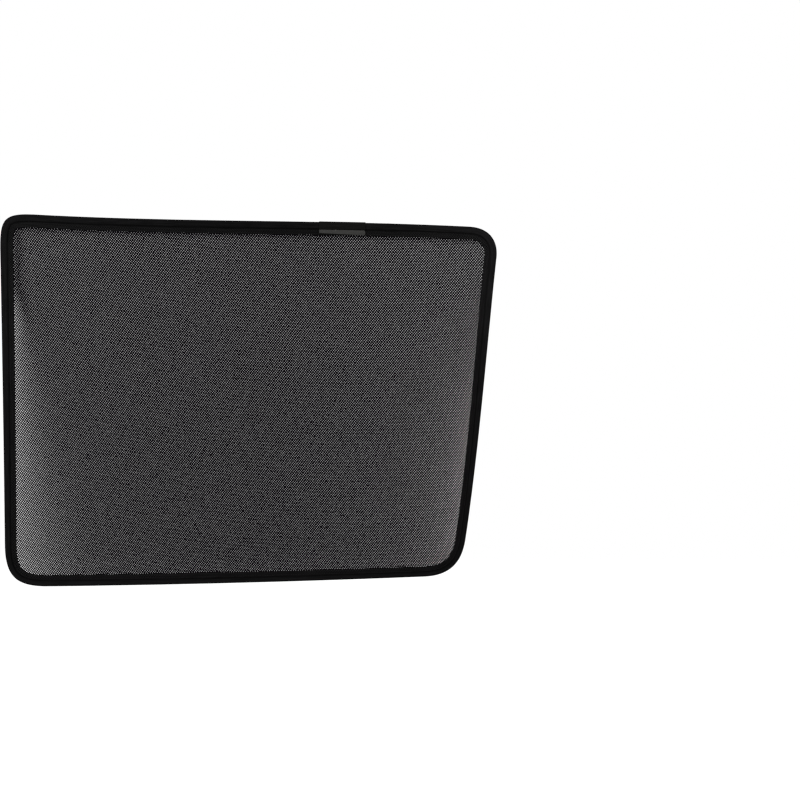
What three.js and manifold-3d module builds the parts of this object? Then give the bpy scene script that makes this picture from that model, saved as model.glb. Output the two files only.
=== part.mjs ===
// Car side window sunshade: a dark net sewn into a tape rim that hides a spring wire and bar magnets.
// Millimetres. X runs along the window, Z is up, the -Y face looks into the cabin, +Y meets the door.
import * as THREE from 'three';
import { LoftGeometry } from 'three/addons/geometries/LoftGeometry.js';
import { mergeVertices } from 'three/addons/utils/BufferGeometryUtils.js';
import Module from 'manifold-3d';

const wasm = await Module();
wasm.setup();

// Window outline: where the straightened edges would meet
const topWidth = 649.3;
const bottomWidth = 591.9;
const leftHeight = 485.4;
const leftLean = 7.6;
const topDrop = 18;
const bottomRise = 15.4;

// Corner bends: radius of each, and how far it eases out into the edges
const topLeftRadius = 26;
const topLeftEase = 1.8;
const topRightRadius = 33;
const topRightEase = 1.1;
const bottomRightRadius = 48;
const bottomRightEase = 1.15;
const bottomLeftRadius = 41;
const bottomLeftEase = 1.35;

// Edge bows: how far each edge's pull points stand outside the straight line
const topBowLeft = -5;
const topBowRight = 4.2;
const rightBowUpper = 0.3;
const rightBowLower = 4.7;
const bottomBow = 2.4;
const leftBow = -0.5;

// Rim: the tape is sewn narrower towards the lower corners
const rimTopLeft = 17.2;
const rimTopRight = 16.8;
const rimBottomRight = 13.6;
const rimBottomLeft = 15.2;
const hemWidth = 7.8;
const tapeThickness = 0.7;
const humpFullness = 2.5;
const tapeSeamGap = 0.6;

// Clearance between pieces that touch
const clearance = 0.3;

// Spring wire with thinned ends in a flush ferrule
const wireDiameter = 3;
const wireEndDiameter = 1.6;
const wireEndLength = 12;
const wireButtGap = 1;
const ferrulePlace = 0.5;

// Bar magnets beside the wire
const magnetLength = 20;
const magnetWidth = 2.5;
const magnetThickness = 1.5;
const topMagnets = [0.12, 0.42, 0.86];
const rightMagnets = [0.12, 0.4];
const leftMagnets = [0.3, 0.86];

// Net: a thin wall with yarn ridges that rise to the right on the front and fall on the back
const netWall = 0.3;
const ridgeHeight = 0.25;
const ridgePitch = 10;
const ridgeBase = 3;
const ridgeTop = 1.4;
const risingAngle = 53;
const fallingAngle = -43.5;
const netGap = 6;
const ridgesPerGap = 5;

// Pull tab: a ribbon folded over the top edge, with a light strip across its inner end
const tabPlace = 0.706;
const tabWidth = 60;
const tabThickness = 0.4;
const tabInset = 0.5;
const stripLeftWidth = 4.6;
const stripRightWidth = 6.4;
const stripThickness = 1.1;
const stripLeftRadius = 0.9;
const stripRightRadius = 2.4;
const stripBevel = 0.3;

// Fineness of the curves
const edgeSteps = 10;
const cornerSteps = 8;
const humpSteps = 4;
const foldSteps = 6;
const wireSides = 10;
const tabSteps = 4;
const ferruleSides = 16;
const stripEndSteps = 4;
const nearestStation = 0.5;

// Depths, counted forwards from the rim's flat back
const foldRadius = tapeThickness + clearance + wireDiameter / 2;
const netBack = tapeThickness + clearance;
const netDepth = netWall + 2 * ridgeHeight;
const hemDepth = 2 * netBack + netDepth;
const humpHeight = 2 * foldRadius - hemDepth;

const tapeBlack = new THREE.MeshStandardMaterial({ color: 0x151515, roughness: 0.92, metalness: 0 });
const netBlack = new THREE.MeshStandardMaterial({ color: 0x2c2b2e, roughness: 0.85, metalness: 0 });
const ribbonBlack = new THREE.MeshStandardMaterial({ color: 0x222222, roughness: 0.8, metalness: 0 });
const stripGrey = new THREE.MeshStandardMaterial({ color: 0x6f6e6c, roughness: 0.55, metalness: 0 });
const springSteel = new THREE.MeshStandardMaterial({ color: 0x8b8e92, roughness: 0.35, metalness: 1 });
const ferruleBrass = new THREE.MeshStandardMaterial({ color: 0xb59a5b, roughness: 0.4, metalness: 1 });
const magnetNickel = new THREE.MeshStandardMaterial({ color: 0xc3c5c8, roughness: 0.3, metalness: 1 });

// Corners clockwise from the top left, each followed by its edge's pair of bows
const topLeft = new THREE.Vector2(-leftLean, leftHeight);
const topRight = new THREE.Vector2(topWidth - leftLean, leftHeight - topDrop);
const bottomRight = new THREE.Vector2(bottomWidth, bottomRise);
const bottomLeft = new THREE.Vector2(0, 0);
const corners = [
  { point: topLeft, radius: topLeftRadius, ease: topLeftEase, rim: rimTopLeft },
  { point: topRight, radius: topRightRadius, ease: topRightEase, rim: rimTopRight },
  { point: bottomRight, radius: bottomRightRadius, ease: bottomRightEase, rim: rimBottomRight },
  { point: bottomLeft, radius: bottomLeftRadius, ease: bottomLeftEase, rim: rimBottomLeft },
];
const edgeBows = [
  [topBowLeft, topBowRight],
  [rightBowUpper, rightBowLower],
  [bottomBow, bottomBow],
  [leftBow, leftBow],
];

// Four bowed edges and the four corners after them, each joined without a kink
function drawOutline() {
  const points = corners.map(({ point }) => point);
  const next = (i) => (i + 1) % points.length;
  const headings = points.map((point, i) => points[next(i)].clone().sub(point).normalize());
  const bends = corners.map(({ radius, ease }, i) => {
    const before = headings[(i + corners.length - 1) % corners.length];
    const turn = Math.acos(before.dot(headings[i]));
    const arcReach = radius * Math.tan(turn / 2);
    const arcHandle = (4 / 3) * Math.tan(turn / 4) * radius;
    const reach = arcReach * ease;
    return { reach, handle: arcHandle + (4 / 3) * (reach - arcReach) };
  });
  const edges = points.map((point, i) => {
    const heading = headings[i];
    const outward = new THREE.Vector2(-heading.y, heading.x);
    const start = point.clone().addScaledVector(heading, bends[i].reach);
    const end = points[next(i)].clone().addScaledVector(heading, -bends[next(i)].reach);
    const third = start.distanceTo(end) / 3;
    const pullOne = start.clone().addScaledVector(heading, third).addScaledVector(outward, edgeBows[i][0]);
    const pullTwo = end.clone().addScaledVector(heading, -third).addScaledVector(outward, edgeBows[i][1]);
    return new THREE.CubicBezierCurve(start, pullOne, pullTwo, end);
  });
  const path = new THREE.CurvePath();
  edges.forEach((edge, i) => {
    const following = edges[next(i)];
    const leaving = edge.v3.clone().sub(edge.v2).normalize();
    const arriving = following.v1.clone().sub(following.v0).normalize();
    const { handle } = bends[next(i)];
    path.add(edge);
    path.add(new THREE.CubicBezierCurve(
      edge.v3,
      edge.v3.clone().addScaledVector(leaving, handle),
      following.v0.clone().addScaledVector(arriving, -handle),
      following.v0,
    ));
  });
  return path;
}

const outline = drawOutline();
const curveEnds = outline.getCurveLengths();
const loopLength = outline.getLength();

// Stations along the outline: few on the long edges, closer in the corners
const loopStations = curveEnds.flatMap((end, i) => {
  const start = i === 0 ? 0 : curveEnds[i - 1];
  const steps = i % 2 === 0 ? edgeSteps : cornerSteps;
  return Array.from({ length: steps }, (_, step) => start + ((end - start) * step) / steps);
});
const stationPoints = loopStations.map((station) => outline.getPoint(station / loopLength));
const reachX = stationPoints.map((point) => point.x);
const reachZ = stationPoints.map((point) => point.y);
const middleX = (Math.min(...reachX) + Math.max(...reachX)) / 2;
const lowestZ = Math.min(...reachZ);

// A place beside the outline: how far along it and inward from it, in the plane of the window
function planPoint(station, inward) {
  const share = (((station % loopLength) + loopLength) % loopLength) / loopLength;
  const point = outline.getPoint(share);
  const heading = outline.getTangent(share);
  return new THREE.Vector2(
    point.x - middleX + heading.y * inward,
    point.y - lowestZ - heading.x * inward,
  );
}

// The same place at a depth counted forwards from the rim's flat back
function place(station, inward, depth) {
  const { x, y } = planPoint(station, inward);
  return new THREE.Vector3(x, foldRadius - depth, y);
}

// Turn about Y that lays local X along the outline
function headingTurn(station) {
  const heading = outline.getTangent(station / loopLength);
  return Math.atan2(-heading.y, heading.x);
}

// A place on an edge, as a share of the edge's length: 0 top, 1 right, 2 bottom, 3 left
function alongEdge(edge, share) {
  const start = edge === 0 ? 0 : curveEnds[2 * edge - 1];
  return start + (curveEnds[2 * edge] - start) * share;
}

// The stations from one place to another, with both ends and none too near them
function span(start, end) {
  const inner = [...loopStations, ...loopStations.map((station) => station + loopLength)]
    .filter((station) => station > start + nearestStation && station < end - nearestStation);
  return [start, ...inner, end];
}

// The rim's width blends evenly from the middle of one corner to the middle of the next
function rimWidth(station) {
  const middles = corners.map((_, i) => (curveEnds[2 * i] + curveEnds[2 * i + 1]) / 2);
  const wrapped = station % loopLength;
  const passed = middles.filter((middle) => middle <= wrapped).length;
  const from = (passed + corners.length - 1) % corners.length;
  const to = passed % corners.length;
  const start = passed === 0 ? middles[from] - loopLength : middles[from];
  const end = passed === corners.length ? middles[to] + loopLength : middles[to];
  const widthAfter = (i) => corners[(i + 1) % corners.length].rim;
  return THREE.MathUtils.lerp(widthAfter(from), widthAfter(to), (wrapped - start) / (end - start));
}

const tubeWidth = (station) => rimWidth(station) - hemWidth;

// Half of a folded section: hem, hump over the magnets, fold round the wire, flat back
function foldedLine(station, offset, reach) {
  const line = [[reach, hemDepth + offset]];
  const humpLength = tubeWidth(station) + offset - foldRadius;
  for (let step = 0; step < humpSteps; step += 1) {
    const angle = ((Math.PI / 2) * step) / humpSteps;
    line.push([
      foldRadius + humpLength * Math.cos(angle) ** (2 / humpFullness),
      hemDepth + offset + humpHeight * Math.sin(angle) ** (2 / humpFullness),
    ]);
  }
  for (let step = 0; step <= foldSteps; step += 1) {
    const angle = Math.PI / 2 + (Math.PI * step) / foldSteps;
    line.push([
      foldRadius + (foldRadius + offset) * Math.cos(angle),
      foldRadius + (foldRadius + offset) * Math.sin(angle),
    ]);
  }
  line.push([reach, -offset]);
  return line;
}

// A folded strip of an even thickness: its outer line and its inner line back again
function foldedSection(station, outer, inner, reach) {
  const outside = foldedLine(station, outer, reach);
  const inside = foldedLine(station, inner, reach);
  return [...outside, ...inside.reverse()];
}

// A solid swept through sections, each a station and its inward and forward coordinates
function sweep(sections) {
  const rings = sections.map(({ station, line }) => (
    line.map(([inward, depth]) => place(station, inward, depth)).reverse()
  ));
  return new LoftGeometry(rings, { capStart: true, capEnd: true });
}

function edgeBindingGeometry(seam) {
  const stations = span(seam + tapeSeamGap / 2, seam + loopLength - tapeSeamGap / 2);
  return sweep(stations.map((station) => ({
    station,
    line: foldedSection(station, 0, -tapeThickness, rimWidth(station)),
  })));
}

function pullTabGeometry(middle) {
  const inner = clearance;
  const outer = clearance + tabThickness;
  return sweep(Array.from({ length: tabSteps + 1 }, (_, step) => {
    const station = middle + tabWidth * (step / tabSteps - 0.5);
    return { station, line: foldedSection(station, outer, inner, rimWidth(station) - tabInset) };
  }));
}

// Strip across the tab's inner end: a flat bar that widens to a rounder right end, with softened edges.
// Its straight outer side lies on local X, and local Y points out of the window.
function tabStripGeometry() {
  const half = tabWidth / 2 - stripBevel;
  const outer = -stripBevel;
  const innerLeft = stripBevel - stripLeftWidth;
  const innerRight = stripBevel - stripRightWidth;
  const [small, large] = [stripLeftRadius, stripRightRadius];
  const shape = new THREE.Shape();
  shape.moveTo(-half + small, innerLeft);
  shape.lineTo(half - large, innerRight);
  shape.absarc(half - large, innerRight + large, large, -Math.PI / 2, 0);
  shape.absarc(half - large, outer - large, large, 0, Math.PI / 2);
  shape.absarc(-half + small, outer - small, small, Math.PI / 2, Math.PI);
  shape.absarc(-half + small, innerLeft + small, small, Math.PI, 1.5 * Math.PI);
  const geometry = new THREE.ExtrudeGeometry(shape, {
    depth: stripThickness - 2 * stripBevel,
    bevelThickness: stripBevel,
    bevelSize: stripBevel,
    bevelSegments: 1,
    curveSegments: stripEndSteps,
  });
  return geometry.translate(0, 0, stripBevel - stripThickness / 2).rotateX(Math.PI / 2);
}

// Round wire: thinned end, shoulder, the whole loop, shoulder, thinned end
function frameWireGeometry(joint) {
  const start = joint + wireButtGap / 2;
  const end = joint + loopLength - wireButtGap / 2;
  const ring = (station, diameter) => ({
    station,
    line: Array.from({ length: wireSides }, (_, side) => {
      const angle = (2 * Math.PI * side) / wireSides;
      return [foldRadius + (diameter / 2) * Math.cos(angle), foldRadius + (diameter / 2) * Math.sin(angle)];
    }),
  });
  const loop = span(start + wireEndLength, end - wireEndLength);
  return sweep([
    ring(start, wireEndDiameter),
    ring(loop[0], wireEndDiameter),
    ...loop.map((station) => ring(station, wireDiameter)),
    ring(loop.at(-1), wireEndDiameter),
    ring(end, wireEndDiameter),
  ]);
}

// Ferrule: a tube as thick as the wire, closed over both thinned ends
function ferruleGeometry() {
  const half = wireEndLength + wireButtGap / 2 - clearance;
  const bore = wireEndDiameter / 2 + clearance;
  const wall = wireDiameter / 2;
  const profile = [[bore, -half], [wall, -half], [wall, half], [bore, half], [bore, -half]];
  const geometry = new THREE.LatheGeometry(profile.map(([r, h]) => new THREE.Vector2(r, h)), ferruleSides);
  return geometry.rotateZ(Math.PI / 2);
}

// Solids for cutting and joining
function solidOf(geometry) {
  const bare = geometry.clone();
  bare.deleteAttribute('normal');
  bare.deleteAttribute('uv');
  const merged = mergeVertices(bare);
  return new wasm.Manifold(new wasm.Mesh({
    numProp: 3,
    vertProperties: Float32Array.from(merged.getAttribute('position').array),
    triVerts: Uint32Array.from(merged.getIndex().array),
  }));
}

function geometryOf(solid) {
  const { vertProperties, triVerts } = solid.getMesh();
  const geometry = new THREE.BufferGeometry();
  geometry.setAttribute('position', new THREE.BufferAttribute(vertProperties, 3));
  geometry.setIndex(new THREE.BufferAttribute(triVerts, 1));
  geometry.computeVertexNormals();
  return geometry;
}

// The net is drawn flat: X along the window, Y up it and Z forwards from the rim's back
const netEdge = loopStations.map((station) => planPoint(station, tubeWidth(station) + clearance));
const openEdge = loopStations.map((station) => planPoint(station, rimWidth(station) + netGap));
const netCentre = netEdge
  .reduce((sum, point) => sum.add(point), new THREE.Vector2())
  .divideScalar(netEdge.length);
const netReach = Math.max(...netEdge.map((point) => point.distanceTo(netCentre))) + ridgePitch;
const ridgeCount = Math.floor(netReach / ridgePitch);

// Unit vector across a family of yarns
function across(angle) {
  const turn = THREE.MathUtils.degToRad(angle);
  return new THREE.Vector2(-Math.sin(turn), Math.cos(turn));
}

// One family of yarns: straight ridges that start inside the wall, side by side
function ridgesGeometry(angle, from, to) {
  const ridges = [];
  for (let ridge = -ridgeCount; ridge <= ridgeCount; ridge += 1) {
    const middle = ridge * ridgePitch;
    const shape = new THREE.Shape();
    shape.moveTo(middle - ridgeBase / 2, from);
    shape.lineTo(middle + ridgeBase / 2, from);
    shape.lineTo(middle + ridgeTop / 2, to);
    shape.lineTo(middle - ridgeTop / 2, to);
    ridges.push(shape);
  }
  const side = across(angle);
  const basis = new THREE.Matrix4().makeBasis(
    new THREE.Vector3(side.x, side.y, 0),
    new THREE.Vector3(0, 0, 1),
    new THREE.Vector3(side.y, -side.x, 0),
  );
  const geometry = new THREE.ExtrudeGeometry(ridges, { depth: 2 * netReach, bevelEnabled: false });
  return geometry.translate(0, 0, -netReach).applyMatrix4(basis).translate(netCentre.x, netCentre.y, 0);
}

function isInside(point, loop) {
  return loop.reduce((inside, a, i) => {
    const b = loop[(i + 1) % loop.length];
    const crosses = a.y > point.y !== b.y > point.y;
    return crosses && point.x < a.x + ((b.x - a.x) * (point.y - a.y)) / (b.y - a.y) ? !inside : inside;
  }, false);
}

// Where the middle lines of two yarn gaps meet, counted in ridges from the net's centre
function crossing(risingStep, fallingStep) {
  const rising = across(risingAngle);
  const falling = across(fallingAngle);
  const a = risingStep * ridgePitch;
  const b = fallingStep * ridgePitch;
  const scale = rising.x * falling.y - rising.y * falling.x;
  return new THREE.Vector2(
    (a * falling.y - b * rising.y) / scale,
    (b * rising.x - a * falling.x) / scale,
  ).add(netCentre);
}

// Diamond gaps between the yarns of both families
function gapsGeometry(depth) {
  const half = netGap / ridgePitch / 2;
  const turns = Math.ceil(ridgeCount / ridgesPerGap);
  const diamonds = [];
  for (let i = -turns; i <= turns; i += 1) {
    for (let j = -turns; j <= turns; j += 1) {
      const rising = i * ridgesPerGap + 0.5;
      const falling = j * ridgesPerGap + 0.5;
      if (isInside(crossing(rising, falling), openEdge)) {
        diamonds.push(new THREE.Shape([
          crossing(rising - half, falling - half),
          crossing(rising - half, falling + half),
          crossing(rising + half, falling + half),
          crossing(rising + half, falling - half),
        ]));
      }
    }
  }
  return new THREE.ExtrudeGeometry(diamonds, { depth, bevelEnabled: false });
}

function netGeometry() {
  const wallBack = netBack + ridgeHeight;
  const wallFront = wallBack + netWall;
  const wallMiddle = (wallBack + wallFront) / 2;
  const wall = new THREE.BoxGeometry(2 * netReach, 2 * netReach, netWall)
    .translate(netCentre.x, netCentre.y, wallMiddle);
  const edge = new THREE.Shape(netEdge);
  const trim = new THREE.ExtrudeGeometry(edge, { depth: hemDepth, bevelEnabled: false });
  const net = solidOf(wall)
    .add(solidOf(ridgesGeometry(risingAngle, wallMiddle, wallFront + ridgeHeight)))
    .add(solidOf(ridgesGeometry(fallingAngle, wallBack - ridgeHeight, wallMiddle)))
    .intersect(solidOf(trim))
    .subtract(solidOf(gapsGeometry(hemDepth)));
  return geometryOf(net).rotateX(Math.PI / 2).translate(0, foldRadius, 0);
}

const shade = new THREE.Group();

function addPiece(name, geometry, material) {
  const mesh = new THREE.Mesh(geometry, material);
  mesh.name = name;
  shade.add(mesh);
  return mesh;
}

const tabMiddle = alongEdge(0, tabPlace);
const ferruleMiddle = alongEdge(2, ferrulePlace);

addPiece('edge_binding', edgeBindingGeometry(tabMiddle), tapeBlack);
addPiece('mesh_screen', netGeometry(), netBlack);
addPiece('frame_wire', frameWireGeometry(ferruleMiddle), springSteel);

const ferrule = addPiece('wire_ferrule', ferruleGeometry(), ferruleBrass);
ferrule.position.copy(place(ferruleMiddle, foldRadius, foldRadius));
ferrule.rotation.y = headingTurn(ferruleMiddle);

addPiece('pull_tab', pullTabGeometry(tabMiddle), ribbonBlack);

const stripInward = tubeWidth(tabMiddle) + tabThickness + 2 * clearance;
const stripDepth = hemDepth + tabThickness + 2 * clearance + stripThickness / 2;
const strip = addPiece('tab_strip', tabStripGeometry(), stripGrey);
strip.position.copy(place(tabMiddle, stripInward, stripDepth));
strip.rotation.y = headingTurn(tabMiddle);

// Magnets lie flat against the rim's back, between the wire and the hem
const magnetInward = foldRadius + wireDiameter / 2 + clearance + magnetWidth / 2;
const magnetDepth = netBack + magnetThickness / 2;
const magnetRows = [
  { side: 'top', edge: 0, places: topMagnets },
  { side: 'right', edge: 1, places: rightMagnets },
  { side: 'left', edge: 3, places: leftMagnets },
];
magnetRows.forEach(({ side, edge, places }) => {
  places.forEach((share, i) => {
    const station = alongEdge(edge, share);
    const block = new THREE.BoxGeometry(magnetLength, magnetThickness, magnetWidth);
    const magnet = addPiece(`magnet_${side}_${i + 1}`, block, magnetNickel);
    magnet.position.copy(place(station, magnetInward, magnetDepth));
    magnet.rotation.y = headingTurn(station);
  });
});

export default shade;
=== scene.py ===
# Car side window sunshade: fine tape, net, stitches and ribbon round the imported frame, in metres.
import math
import random

import bmesh
import bpy
import numpy as np
from mathutils import Matrix, Vector, noise


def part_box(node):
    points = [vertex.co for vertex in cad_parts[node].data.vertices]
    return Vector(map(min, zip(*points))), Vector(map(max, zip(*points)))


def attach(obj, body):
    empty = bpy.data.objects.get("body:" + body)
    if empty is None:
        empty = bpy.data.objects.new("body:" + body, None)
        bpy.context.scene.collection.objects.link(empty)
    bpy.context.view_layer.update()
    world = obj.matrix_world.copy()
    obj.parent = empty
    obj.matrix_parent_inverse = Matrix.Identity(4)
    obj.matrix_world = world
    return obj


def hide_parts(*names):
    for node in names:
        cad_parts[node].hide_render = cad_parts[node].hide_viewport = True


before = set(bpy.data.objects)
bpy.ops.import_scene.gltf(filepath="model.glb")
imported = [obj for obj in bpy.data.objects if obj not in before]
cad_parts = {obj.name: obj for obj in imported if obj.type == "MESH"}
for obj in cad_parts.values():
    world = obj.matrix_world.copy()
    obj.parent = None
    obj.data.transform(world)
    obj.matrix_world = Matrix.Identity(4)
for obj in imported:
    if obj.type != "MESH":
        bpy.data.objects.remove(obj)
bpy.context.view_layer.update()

MM = 0.001

# Window outline, as the solids have it: where the straightened edges would meet
TOP_WIDTH = 649.3 * MM
BOTTOM_WIDTH = 591.9 * MM
LEFT_HEIGHT = 485.4 * MM
LEFT_LEAN = 7.6 * MM
TOP_DROP = 18 * MM
BOTTOM_RISE = 15.4 * MM

# Corners clockwise from the top left: point, bend radius, ease into the edges, rim width
CORNERS = [
    (Vector((-LEFT_LEAN, LEFT_HEIGHT)), 26 * MM, 1.8, 17.2 * MM),
    (Vector((TOP_WIDTH - LEFT_LEAN, LEFT_HEIGHT - TOP_DROP)), 33 * MM, 1.1, 16.8 * MM),
    (Vector((BOTTOM_WIDTH, BOTTOM_RISE)), 48 * MM, 1.15, 13.6 * MM),
    (Vector((0, 0)), 41 * MM, 1.35, 15.2 * MM),
]
EDGE_BOWS = [(-5 * MM, 4.2 * MM), (0.3 * MM, 4.7 * MM), (2.4 * MM, 2.4 * MM), (-0.5 * MM, -0.5 * MM)]

# Rim section, as the solids have it
HEM_WIDTH = 7.8 * MM
TAPE_THICKNESS = 0.7 * MM
HUMP_FULLNESS = 2.5
TAPE_SEAM_GAP = 0.6 * MM
CLEARANCE = 0.3 * MM
WIRE_DIAMETER = 3 * MM
NET_DEPTH = 0.8 * MM
FOLD_RADIUS = TAPE_THICKNESS + CLEARANCE + WIRE_DIAMETER / 2
HEM_DEPTH = 2 * (TAPE_THICKNESS + CLEARANCE) + NET_DEPTH
HUMP_HEIGHT = 2 * FOLD_RADIUS - HEM_DEPTH

# How far the hem's free edge is trimmed, clockwise from the top edge and from the top right corner
EDGE_TRIMS = [0, 1.1 * MM, 0, 0.4 * MM]
CORNER_TRIMS = [0.5 * MM, 0.8 * MM, 0.6 * MM, 0.3 * MM]

# Pull tab and the strip across its inner end, as the solids have them
TAB_PLACE = 0.706
TAB_WIDTH = 60 * MM
TAB_THICKNESS = 0.4 * MM
TAB_INSET = 0.5 * MM
BAR_LEFT_WIDTH = 4.6 * MM
BAR_RIGHT_WIDTH = 6.4 * MM
BAR_THICKNESS = 1.1 * MM
BAR_LEFT_RADIUS = 1.2 * MM
BAR_RIGHT_RADIUS = 2.3 * MM
BAR_EDGE_RADIUS = 0.35 * MM
BAR_CORNER_SEGMENTS = 8
BAR_EDGE_SEGMENTS = 3
BAR_CUTS = 90
BAR_CUT_REACH = 0.49
NUB_PLACE = -8.6 * MM
NUB_WIDTH = 0.9 * MM
NUB_RISE = 0.25 * MM

# Fineness
CURVE_STEPS = 400
TAPE_STATIONS = 1080
TAB_STATIONS = 56
HEM_STEPS = 10
HUMP_STEPS = 10
FOLD_STEPS = 10
BACK_STEPS = 9
INNER_STEPS = (1, 5, 5, 1)

# Stitching: two rows through the hem
STITCH_PITCH = 3.1 * MM
STITCH_LENGTH = 2.3 * MM
STITCH_RADIUS = 0.24 * MM
STITCH_ROWS = [1.4 * MM, 5.4 * MM]
STITCH_SINK = 0.22 * MM
STITCH_PINCH = 0.7 * MM
STITCH_SIDES = 6
STITCH_RINGS = 5

# Slack and puckers of the tape and the ribbon, and a seed for each noise in them
SLACK_HEIGHT = 0.22 * MM
SLACK_REACH = 34 * MM
PUCKER_HEIGHT = 0.16 * MM
PUCKER_REACH = 11 * MM
GATHER_HEIGHT = 0.3 * MM
GATHER_PITCH = 7 * MM
PINCH_DEPTH = 0.18 * MM
MOST_RISE = 0.28 * MM
EDGE_SHARE = 0.3
SELVEDGE_HEIGHT = 0.12 * MM
SELVEDGE_WIDTH = 1.2 * MM
PUCKER_STRETCH = 0.3
PUCKER_SEED = 0
TAB_SLACK_SEED = 3
TAPE_SLACK_SEED = 5
GATHER_SEED = 9
SHARP_ANGLE = math.radians(50)

# Net lattice: yarns rise and fall across the window, with a small hole in each cell
RISING_ANGLE = math.radians(53)
FALLING_ANGLE = math.radians(-43.5)
RISING_SPACING = 2.53 * MM
FALLING_SPACING = 2.30 * MM
KNOT_HEIGHT = 0.16 * MM
HOLE_START = 0.5 * MM
HOLE_UNEVENNESS = 0.05
NET_HEM_COVER = 3.6 * MM
NET_EDGE_STRIDE = 8
LATTICE_SPREAD = 0.2
LATTICE_MARGIN = 1.12
NET_SEED = 5

# Openness: shares of a cell, and the painted shade of a crease that runs down from the top left corner,
# drawn as smaller holes
OPEN_LOW = 0.042
OPEN_TOP = 0.018
OPEN_LEFT = 0.016
OPEN_RIGHT = 0.03
OPEN_LEFT_BAND = 0.12
OPEN_RIGHT_BAND = 0.075
RIGHT_BAND_WIDTH = 26 * MM
CREASE_TOP = 395 * MM
CREASE_LENGTH = 105 * MM
CREASE_INSET = 6 * MM
CREASE_SLANT = 0.23
CREASE_WIDTH = 6 * MM
CREASE_SHADE_CLOSING = 0.5
BAND_START = 3 * MM
BAND_SPREAD = 0.12
BAND_RISE = 45 * MM
BAND_POWER = 1.3
RIGHT_BAND_RISE = 6 * BAND_RISE
TOP_SHADE = 0.08
TOP_SHADE_REACH = 9 * MM


def bezier(curve, steps):
    """Points along one cubic curve, without its end"""
    t = np.linspace(0, 1, steps, endpoint=False)[:, None]
    a, b, c, d = (np.array(point) for point in curve)
    return (1 - t) ** 3 * a + 3 * (1 - t) ** 2 * t * b + 3 * (1 - t) * t**2 * c + t**3 * d


def outline_curves():
    """Four bowed edges and the four eased corners after them, each joined without a kink"""
    points = [corner[0] for corner in CORNERS]
    count = len(points)
    headings = [(points[(i + 1) % count] - points[i]).normalized() for i in range(count)]
    reaches, handles = [], []
    for i, (_, radius, ease, _) in enumerate(CORNERS):
        turn = headings[i - 1].angle(headings[i])
        arc_reach = radius * math.tan(turn / 2)
        reaches.append(arc_reach * ease)
        handles.append(4 / 3 * (math.tan(turn / 4) * radius + reaches[i] - arc_reach))
    edges = []
    for i, (bow_one, bow_two) in enumerate(EDGE_BOWS):
        heading = headings[i]
        outward = Vector((-heading.y, heading.x))
        start = points[i] + heading * reaches[i]
        end = points[(i + 1) % count] - heading * reaches[(i + 1) % count]
        third = heading * ((end - start).length / 3)
        edges.append((start, start + third + outward * bow_one, end - third + outward * bow_two, end))
    curves = []
    for i, edge in enumerate(edges):
        following = edges[(i + 1) % count]
        leaving = (edge[3] - edge[2]).normalized() * handles[(i + 1) % count]
        arriving = (following[1] - following[0]).normalized() * handles[(i + 1) % count]
        curves.append(edge)
        curves.append((edge[3], edge[3] + leaving, following[0] - arriving, following[0]))
    return curves


track = np.concatenate([bezier(curve, CURVE_STEPS) for curve in outline_curves()])
track = np.vstack([track, track[:1]])
rim_low, rim_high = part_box("edge_binding")
track[:, 0] += (rim_low[0] + rim_high[0] - track[:, 0].min() - track[:, 0].max()) / 2
track[:, 1] += rim_low[2] - track[:, 1].min()
travel = np.concatenate([[0], np.cumsum(np.linalg.norm(np.diff(track, axis=0), axis=1))])
loop_length = travel[-1]
curve_ends = travel[CURVE_STEPS::CURVE_STEPS]
heading_x = np.gradient(track[:, 0], travel)
heading_z = np.gradient(track[:, 1], travel)

# The rim's width blends evenly from the middle of one corner to the middle of the next
corner_middles = (curve_ends[0::2] + curve_ends[1::2]) / 2
corner_rims = [CORNERS[(i + 1) % len(CORNERS)][3] for i in range(len(CORNERS))]
edge_middles = (np.concatenate([[0], curve_ends[1:-1:2]]) + curve_ends[0::2]) / 2
trim_places = np.concatenate([edge_middles, corner_middles])
tab_middle = TAB_PLACE * curve_ends[0]


def rim_width(along):
    return np.interp(along, corner_middles, corner_rims, period=loop_length)


def hem_edge(along):
    """How far inward the hem's free edge lies"""
    return rim_width(along) - np.interp(along, trim_places, EDGE_TRIMS + CORNER_TRIMS, period=loop_length)


def heading(along):
    """Unit direction of the outline, clockwise as seen from the cabin"""
    along = np.mod(along, loop_length)
    return np.interp(along, travel, heading_x), np.interp(along, travel, heading_z)


def place(along, inward, depth):
    """A place by its length along the outline, inward from it and forward from the rim's flat back"""
    hx, hz = heading(along)
    along = np.mod(along, loop_length)
    x = np.interp(along, travel, track[:, 0]) + hz * inward
    z = np.interp(along, travel, track[:, 1]) - hx * inward
    return np.stack([x, FOLD_RADIUS - depth + 0 * x, z], axis=-1)


def turned_to_place(along, inward, depth):
    """Matrix that lays a piece along the outline, at a place on it"""
    hx, hz = heading(along)
    turn = Matrix(((hx, 0, -hz, 0), (0, 1, 0, 0), (hz, 0, hx, 0), (0, 0, 0, 1)))
    return Matrix.Translation(Vector(place(along, inward, depth))) @ turn


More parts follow.
